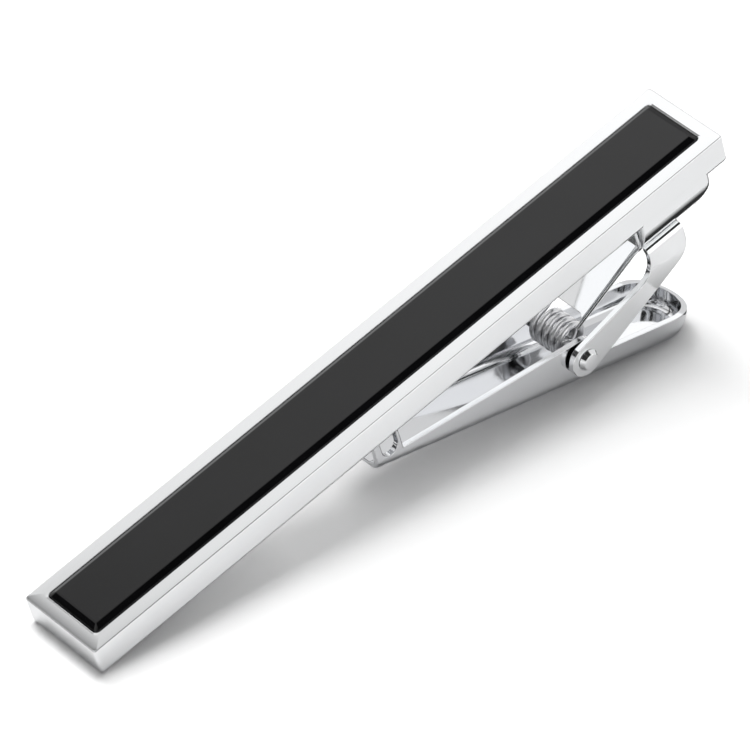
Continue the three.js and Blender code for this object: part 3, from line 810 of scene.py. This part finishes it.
def rivet_rings():
    """Shank, cone and shallow top as radius against place along the axis, turned round it in equal steps."""
    top_radius = np.linspace(TOP_RADIUS, 0, TOP_STEPS + 1)
    top_y = HEAD_FACE + HEAD_HEIGHT - TOP_RISE * (top_radius / TOP_RADIUS) ** 2
    head_radius = np.concatenate([[PIN_RADIUS, HEAD_RADIUS], top_radius])
    head_y = np.concatenate([[HEAD_FACE, HEAD_FACE], top_y])
    radius = np.concatenate([head_radius[::-1], head_radius])
    y = np.concatenate([-head_y[::-1], head_y])
    round_turn = np.linspace(0, 2 * np.pi, RIVET_SIDES, endpoint=False)
    x = PIN_X + radius[:, None] * np.cos(round_turn)
    z = PIN_Z + radius[:, None] * np.sin(round_turn)
    return np.stack([x, np.broadcast_to(y[:, None], x.shape), z], axis=-1)


rivet_points = rivet_rings()
rivet_faces = cells(*rivet_points.shape[:2], around=True).tolist()
rivet = soften(mesh_object("hinge_rivet", rivet_points.reshape(-1, 3), rivet_faces), RIVET_EDGE)
dress(rivet, clip_plating, "plated_pin", "bar", "hinge_pin")

# %% [markdown]
# ## The torsion spring
#
# The spring is one wire: a leg that lies on the tail's floor, close turns round the pin, and a leg that runs up
# under the tongue. Its centre line is worked out first, straight, helix, small bend, straight, and a circle is
# carried along it.

# %% The spring
WIRE = 0.5
COIL_RADIUS = 1.2
COIL_SHIFT = 0.4
COIL_PITCH = 0.66
COIL_TURNS = 5
LOWER_LEG = 5.6
UPPER_LEG = 3.2
WIRE_SIDES = 16
WIRE_LIFT = 0.03
TURN_STEPS = 48
LOWER_LEG_STEPS = 24
LEG_BEND_STEPS = 11
UPPER_LEG_STEPS = 15


def spring_line():
    """The wire's centre line from the tail's floor, round the coil and up to the tongue, in the bar's frame."""
    centre_x = PIN_X + COIL_SHIFT
    floor_up = JAW_FLOOR + JAW_SHEET + WIRE / 2 + WIRE_LIFT
    centre_up = COIL_SHIFT * np.sin(JAW_ANGLE)
    leg_turn = -JAW_ANGLE - np.arcsin((centre_up - COIL_RADIUS - floor_up) / LOWER_LEG)
    start = leg_turn - np.pi / 2
    sweep = leg_turn - np.pi + COIL_TURNS * 2 * np.pi
    half = COIL_PITCH * sweep / (4 * np.pi)
    turn = np.linspace(0, sweep, TURN_STEPS * COIL_TURNS)
    coil_x = centre_x + COIL_RADIUS * np.cos(start - turn)
    coil_z = PIN_Z + COIL_RADIUS * np.sin(start - turn)
    coil_y = np.linspace(-half, half, len(turn))
    run = np.linspace(LOWER_LEG, 0, LOWER_LEG_STEPS, endpoint=False)
    low_x = coil_x[0] + run * np.cos(leg_turn)
    low_z = coil_z[0] + run * np.sin(leg_turn)
    bend = np.linspace(0, TONGUE_ANGLE, LEG_BEND_STEPS + 1)[1:]
    bend_x = coil_x[-1] + COIL_RADIUS * np.sin(bend)
    bend_z = coil_z[-1] + COIL_RADIUS * (1 - np.cos(bend))
    rise = np.linspace(0, UPPER_LEG, UPPER_LEG_STEPS + 1)[1:]
    high_x = bend_x[-1] + rise * np.cos(TONGUE_ANGLE)
    high_z = bend_z[-1] + rise * np.sin(TONGUE_ANGLE)
    x = np.concatenate([low_x, coil_x, bend_x, high_x])
    y = np.concatenate([low_x * 0 - half, coil_y, bend_x * 0 + half, high_x * 0 + half])
    z = np.concatenate([low_z, coil_z, bend_z, high_z])
    print(f"spring: {sweep / (2 * np.pi):.2f} turns over {2 * half + WIRE:.2f} mm")
    return np.stack([x, y, z], axis=-1)


def tube(line, diameter):
    """A circle carried along a line, square to it, with one axis kept square to the direction across the bar."""
    along = np.gradient(line, axis=0)
    along /= np.linalg.norm(along, axis=1, keepdims=True)
    out = np.cross([0, 1, 0], along)
    out /= np.linalg.norm(out, axis=1, keepdims=True)
    side = np.cross(along, out)
    turn = np.linspace(0, 2 * np.pi, WIRE_SIDES, endpoint=False)[:, None]
    ring = np.cos(turn) * out[:, None] + np.sin(turn) * side[:, None]
    return line[:, None] + diameter / 2 * ring


spring = mesh_object("coil_spring", *stack(tube(spring_line(), WIRE)))
spring.data.materials.append(spring_wire)
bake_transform(spring)
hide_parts("torsion_spring")

# %% [markdown]
# ## Floor and light
#
# A bright metal object looks like what stands round it, so its studio is built for its reflections. A white
# floor gives the sides their pale grey. A large glowing card behind and above the bar is what its front face
# mirrors, brighter to the right than to the left. The surroundings are white, apart from a few dark patches
# that the stone's bevels and the clip's small edges mirror as black. The floor and the surroundings are drawn
# white for the camera and for mirrors, and light the object at a plain level. What lifts the floor to white fades
# out within a few millimetres of the object, which paints a darker shade on the floor where the two touch, over
# the real shadow.

# %% Floor
FLOOR_HALF = 900.0
# How far from the object the painted shade on the floor reaches, in millimetres.
SHADE_REACH = 4.5
FLOOR_LIFT = 0.36
FLOOR_IN_MIRRORS = 0.1
PAPER_FIBRE = 2.0
SKY_SAMPLES = 8
floor_corners = np.array([(-1, -1), (1, -1), (1, 1), (-1, 1)]) * FLOOR_HALF * MM
floor_mesh = bpy.data.meshes.new("studio_floor")
floor_mesh.from_pydata(np.insert(floor_corners, 2, 0, axis=1).tolist(), [], [(0, 1, 2, 3)])
floor = bpy.data.objects.new("studio_floor", floor_mesh)
bpy.context.scene.collection.objects.link(floor)


def seen_directly(tree, mirror_share):
    """One for camera rays and rays through glass, a share for mirror rays, zero for rays that only carry light."""
    path = add(tree, "ShaderNodeLightPath", {})
    mirror = {0: path.outputs["Is Glossy Ray"], 1: mirror_share, 2: path.outputs["Is Camera Ray"]}
    either = add(tree, "ShaderNodeMath", mirror, operation="MULTIPLY_ADD")
    all_three = {0: either.outputs[0], 1: path.outputs["Is Transmission Ray"]}
    return add(tree, "ShaderNodeMath", all_three, operation="MAXIMUM").outputs[0]


def white_paper(lift, mirror_share):
    """Matt white paper lifted to white where it is seen; near the object the lift fades, which paints a darker shade
    over its real shadows.
    """
    material, tree, shader, place = new_finish("matt_white_paper")
    fibre = add(tree, "ShaderNodeTexNoise", {"Vector": place, "Scale": per_mm(PAPER_FIBRE), "Detail": 2.0})
    tones = add(tree, "ShaderNodeValToRGB", {"Fac": fibre.outputs["Fac"]})
    tones.color_ramp.elements[0].color = linear("#f7f7f7")
    tones.color_ramp.elements[1].color = linear("#fafafa")
    tree.links.new(tones.outputs["Color"], shader.inputs["Base Color"])
    shader.inputs["Roughness"].default_value = 1.0
    shader.inputs["Specular IOR Level"].default_value = 0.0
    shader.inputs["Emission Color"].default_value = (1, 1, 1, 1)
    # Ambient occlusion takes the lift away near the object, which paints a contact shade on the floor.
    sky = add(tree, "ShaderNodeAmbientOcclusion", {"Distance": SHADE_REACH * MM}, samples=SKY_SAMPLES)
    lift_with_painted_shade = add(tree, "ShaderNodeMath", {0: sky.outputs["AO"], 1: lift}, operation="MULTIPLY")
    shown = {0: seen_directly(tree, mirror_share), 1: lift_with_painted_shade.outputs[0]}
    glow = add(tree, "ShaderNodeMath", shown, operation="MULTIPLY")
    tree.links.new(glow.outputs[0], shader.inputs["Emission Strength"])
    return material


floor_mesh.materials.append(white_paper(FLOOR_LIFT, FLOOR_IN_MIRRORS))
print("floor:", floor.name)

# %% [markdown]
# ### Cards and flags
#
# Photographers shape the reflections in bright metal with cards, which are white, and flags, which are black. Each
# one here is a flat panel that only mirrors see: it neither lights the object nor shows to the camera, so it never
# blocks another view. Its four corners carry its glow, which runs evenly from one corner to the next.


# %% Panels for the mirrors
def card_glow():
    """Emission whose strength is the glow that each panel's corners carry."""
    material = bpy.data.materials.new("card_glow")
    material.use_nodes = True
    tree = material.node_tree
    tree.nodes.clear()
    carried = add(tree, "ShaderNodeAttribute", {}, attribute_name="glow")
    glow = add(tree, "ShaderNodeEmission", {"Strength": carried.outputs["Fac"]})
    add(tree, "ShaderNodeOutputMaterial", {"Surface": glow.outputs["Emission"]})
    return material


def panel(name, corners, glow):
    """A four-cornered panel that only mirrors see: corners in millimetres on the table, one glow or one a corner."""
    mesh = bpy.data.meshes.new(name)
    mesh.from_pydata((np.asarray(corners, float) * MM).tolist(), [], [(0, 1, 2, 3)])
    carried = mesh.attributes.new("glow", "FLOAT", "POINT")
    carried.data.foreach_set("value", np.full(4, glow, np.float32))
    mesh.materials.append(mirror_glow)
    made = bpy.data.objects.new(name, mesh)
    bpy.context.scene.collection.objects.link(made)
    made.visible_camera = False
    made.visible_diffuse = False
    made.visible_shadow = False
    print("panel:", name)


mirror_glow = card_glow()

# %% [markdown]
# The large card is square to the direction in which the bar's face mirrors the camera. Two stretches of it meet in
# a seam: one grows brighter to the right, the other falls off to the left and shades the bar's left end. On the
# table behind the bar lie a card for the tongue and a flag for the wedge between the bar and the jaw. To the right
# of the clip two flags draw the dark line along the boss, the first fading in from its near edge. A card in front
# whitens the bracket's bend, and a slanted one behind the bar whitens the jaw's rim. The last two flags stand
# behind the bar and darken the stone's far bevel and its right one, and the last card whitens the tail's near rim.

# %% Cards and flags
CARD_WAY = np.array([0.127, 0.587, 0.799])
CARD_DISTANCE = 250.0
CARD_HALF = 120.0
CARD_LEFT = -105.0
CARD_RIGHT = 60.0
CARD_GLOWS = {"left": 0.05, "seam": 0.85, "right": 1.24}
right_edge = np.cross(CARD_WAY, [0, -1, 0])
right_edge /= np.linalg.norm(right_edge)
up_edge = np.cross(CARD_WAY, right_edge)
CARD_SEAM = -CARD_WAY[0] * CARD_DISTANCE / right_edge[0]


def standing(left, right):
    """Corners of a stretch of the card that faces the bar, between two distances from its middle."""
    across = np.array([left, right, right, left])[:, None]
    upward = np.array([-1, -1, 1, 1])[:, None] * CARD_HALF
    return CARD_WAY * CARD_DISTANCE + across * right_edge + upward * up_edge


panel("face_card", standing(CARD_SEAM, CARD_RIGHT), [CARD_GLOWS[at] for at in ("seam", "right", "right", "seam")])
panel("end_card", standing(CARD_LEFT, CARD_SEAM), [CARD_GLOWS[at] for at in ("left", "seam", "seam", "left")])

# %% Panels on the table and upright ones
JUST_ABOVE = 0.2
DARK = 0.03


def lying(left, near, right, far):
    """Corners of a level panel just above the table, from its left and near edges to its right and far ones."""
    return [(left, near, JUST_ABOVE), (right, near, JUST_ABOVE), (right, far, JUST_ABOVE), (left, far, JUST_ABOVE)]


def upright(y, *corners):
    """Corners of an upright panel that runs along the bar at one y, each given as its x and its height."""
    return np.insert(np.array(corners, float), 1, y, axis=1)


WEDGE_EDGE = 9.5
BEHIND_NEAR = 4.5
BEHIND_FAR = 11.5
panel("tongue_card", lying(WEDGE_EDGE, BEHIND_NEAR, 26, BEHIND_FAR), 1.25)
panel("wedge_flag", lying(-20, BEHIND_NEAR, WEDGE_EDGE, BEHIND_FAR), 2 * DARK)

BOSS_FLAG_LEFT = 28
BOSS_FLAG_RIGHT = 50
BOSS_FLAG_FULL = -7.5
panel("boss_flag", lying(BOSS_FLAG_LEFT, -11.5, BOSS_FLAG_RIGHT, BOSS_FLAG_FULL), [0.8, 0.8, DARK, DARK])
panel("boss_flag_end", lying(BOSS_FLAG_LEFT, BOSS_FLAG_FULL, BOSS_FLAG_RIGHT, -1), DARK)

BEND_CARD_Y = -60
FLAGS_Y = 12
TAIL_CARD_Y = 13
panel("bend_card", upright(BEND_CARD_Y, (0, 10), (90, 10), (90, 75), (0, 75)), 1.25)
panel("rim_card", upright(FLAGS_Y, (16, 0), (34, 8.6), (34, 11.3), (11, 0)), 1.5)
panel("bevel_flag", upright(FLAGS_Y, (-28, 0.1), (36, 15), (36, 17.5), (-28, 1.5)), DARK)
panel("end_flag", upright(FLAGS_Y, (36, 17), (50, 17), (50, 28), (36, 28)), 0.3)
panel("tail_card", upright(TAIL_CARD_Y, (28, 11), (50, 11), (50, 17), (28, 17)), 1.3)

# %% [markdown]
# ### The surroundings
#
# The world is white where it is seen and dimmer where it only lights. Three black flags stand in it for mirrors:
# one high in front, which the stone's near bevel and the bracket's bend show, one low on the left, which the
# stone's left bevel shows, and one round the lens, which the rivet shows. Each is a smooth step of the angle to
# the flag's direction.

# %% Surroundings
FRONT_FLAG = {"way": (0.05, -0.38, 0.92), "inner": 19, "outer": 25}
LEFT_FLAG = {"way": (-0.83, 0.545, 0.118), "inner": 21, "outer": 27}
LENS_FLAG = {"way": (-0.62, -0.5, 0.6), "inner": 20, "outer": 28}
FLAG_LEVEL = 0.04
AMBIENT = 0.08


def flag(tree, facing, way, inner, outer):
    """Dark within the inner angle to a direction, white beyond the outer one, both in degrees, smooth between."""
    toward = add(tree, "ShaderNodeVectorMath", {0: facing, 1: way}, operation="DOT_PRODUCT").outputs["Value"]
    limits = {"From Min": np.cos(np.radians(outer)), "From Max": np.cos(np.radians(inner))}
    step = {"Value": toward, **limits, "To Min": 1.0, "To Max": FLAG_LEVEL}
    return add(tree, "ShaderNodeMapRange", step, interpolation_type="SMOOTHSTEP").outputs["Result"]


def surroundings():
    """White for the camera, white with three flags for mirrors, and an even dim level for the rest."""
    world = bpy.data.worlds.new("white_studio")
    world.use_nodes = True
    tree = world.node_tree
    tree.nodes.clear()
    facing = add(tree, "ShaderNodeTexCoord", {}).outputs["Generated"]
    open_sky = 1.0
    for placed in (FRONT_FLAG, LEFT_FLAG, LENS_FLAG):
        share = {0: flag(tree, facing, **placed), 1: open_sky}
        open_sky = add(tree, "ShaderNodeMath", share, operation="MULTIPLY").outputs[0]
    path = add(tree, "ShaderNodeLightPath", {})
    seen = {0: open_sky, 1: path.outputs["Is Camera Ray"]}
    shown = add(tree, "ShaderNodeMath", seen, operation="MAXIMUM")
    choice = {"Factor": seen_directly(tree, 1.0), "A": AMBIENT, "B": shown.outputs[0]}
    level = add(tree, "ShaderNodeMix", choice, data_type="FLOAT")
    glow = add(tree, "ShaderNodeBackground", {"Strength": level.outputs["Result"]})
    add(tree, "ShaderNodeOutputWorld", {"Surface": glow.outputs["Background"]})
    return world


bpy.context.scene.world = surroundings()
print("world:", bpy.context.scene.world.name)

# %% [markdown]
# ### The lamps
#
# Two broad lamps draw the soft shadow under the clip and along the bar, one from above and one from further behind.
# The shadow is darkest where it lies in the shade of both. Each is a sun with a wide disc, so that the floor is lit
# evenly as far as the metal mirrors it, and mirrors don't see it.

# %% Lamps
LAMP_SPREAD = 24.0
LAMPS = {"soft_overhead": {"tilt": 7.5, "level": 0.5}, "soft_behind": {"tilt": 30.0, "level": 0.36}}


def broad_lamp(name, tilt, level):
    """A sun that leans back by a tilt in degrees, with the strength at which a white floor shows its level."""
    light = bpy.data.lights.new(name, "SUN")
    light.energy = level * np.pi / np.cos(np.radians(tilt))
    light.angle = np.radians(LAMP_SPREAD)
    made = bpy.data.objects.new(name, light)
    made.rotation_euler = (-np.radians(tilt), 0, 0)
    made.visible_glossy = False
    bpy.context.scene.collection.objects.link(made)
    print("lamp:", name, light.energy)


for name, lamp in LAMPS.items():
    broad_lamp(name, **lamp)

# %% [markdown]
# ## Camera
#
# The picture was taken with a long lens from the near left, well above the table. The place and the turn were
# solved from the bar's edges, so the bar's outline falls where it does in the picture.

# %% Camera
CAMERA_PLACE = (-242.457, -278.049, 306.213)
CAMERA_TURN = (51.11696, -0.08918, -40.94365)
CAMERA_LENS = 336.0
SENSOR_WIDTH = 36.0
camera_data = bpy.data.cameras.new("long_lens")
camera_data.lens = CAMERA_LENS
camera_data.sensor_width = SENSOR_WIDTH
camera = bpy.data.objects.new("long_lens", camera_data)
camera.location = np.array(CAMERA_PLACE) * MM
camera.rotation_euler = np.radians(CAMERA_TURN)
bpy.context.scene.collection.objects.link(camera)
bpy.context.scene.camera = camera
bpy.context.scene.view_settings.view_transform = "Standard"
print("camera:", camera_data.lens, "mm")
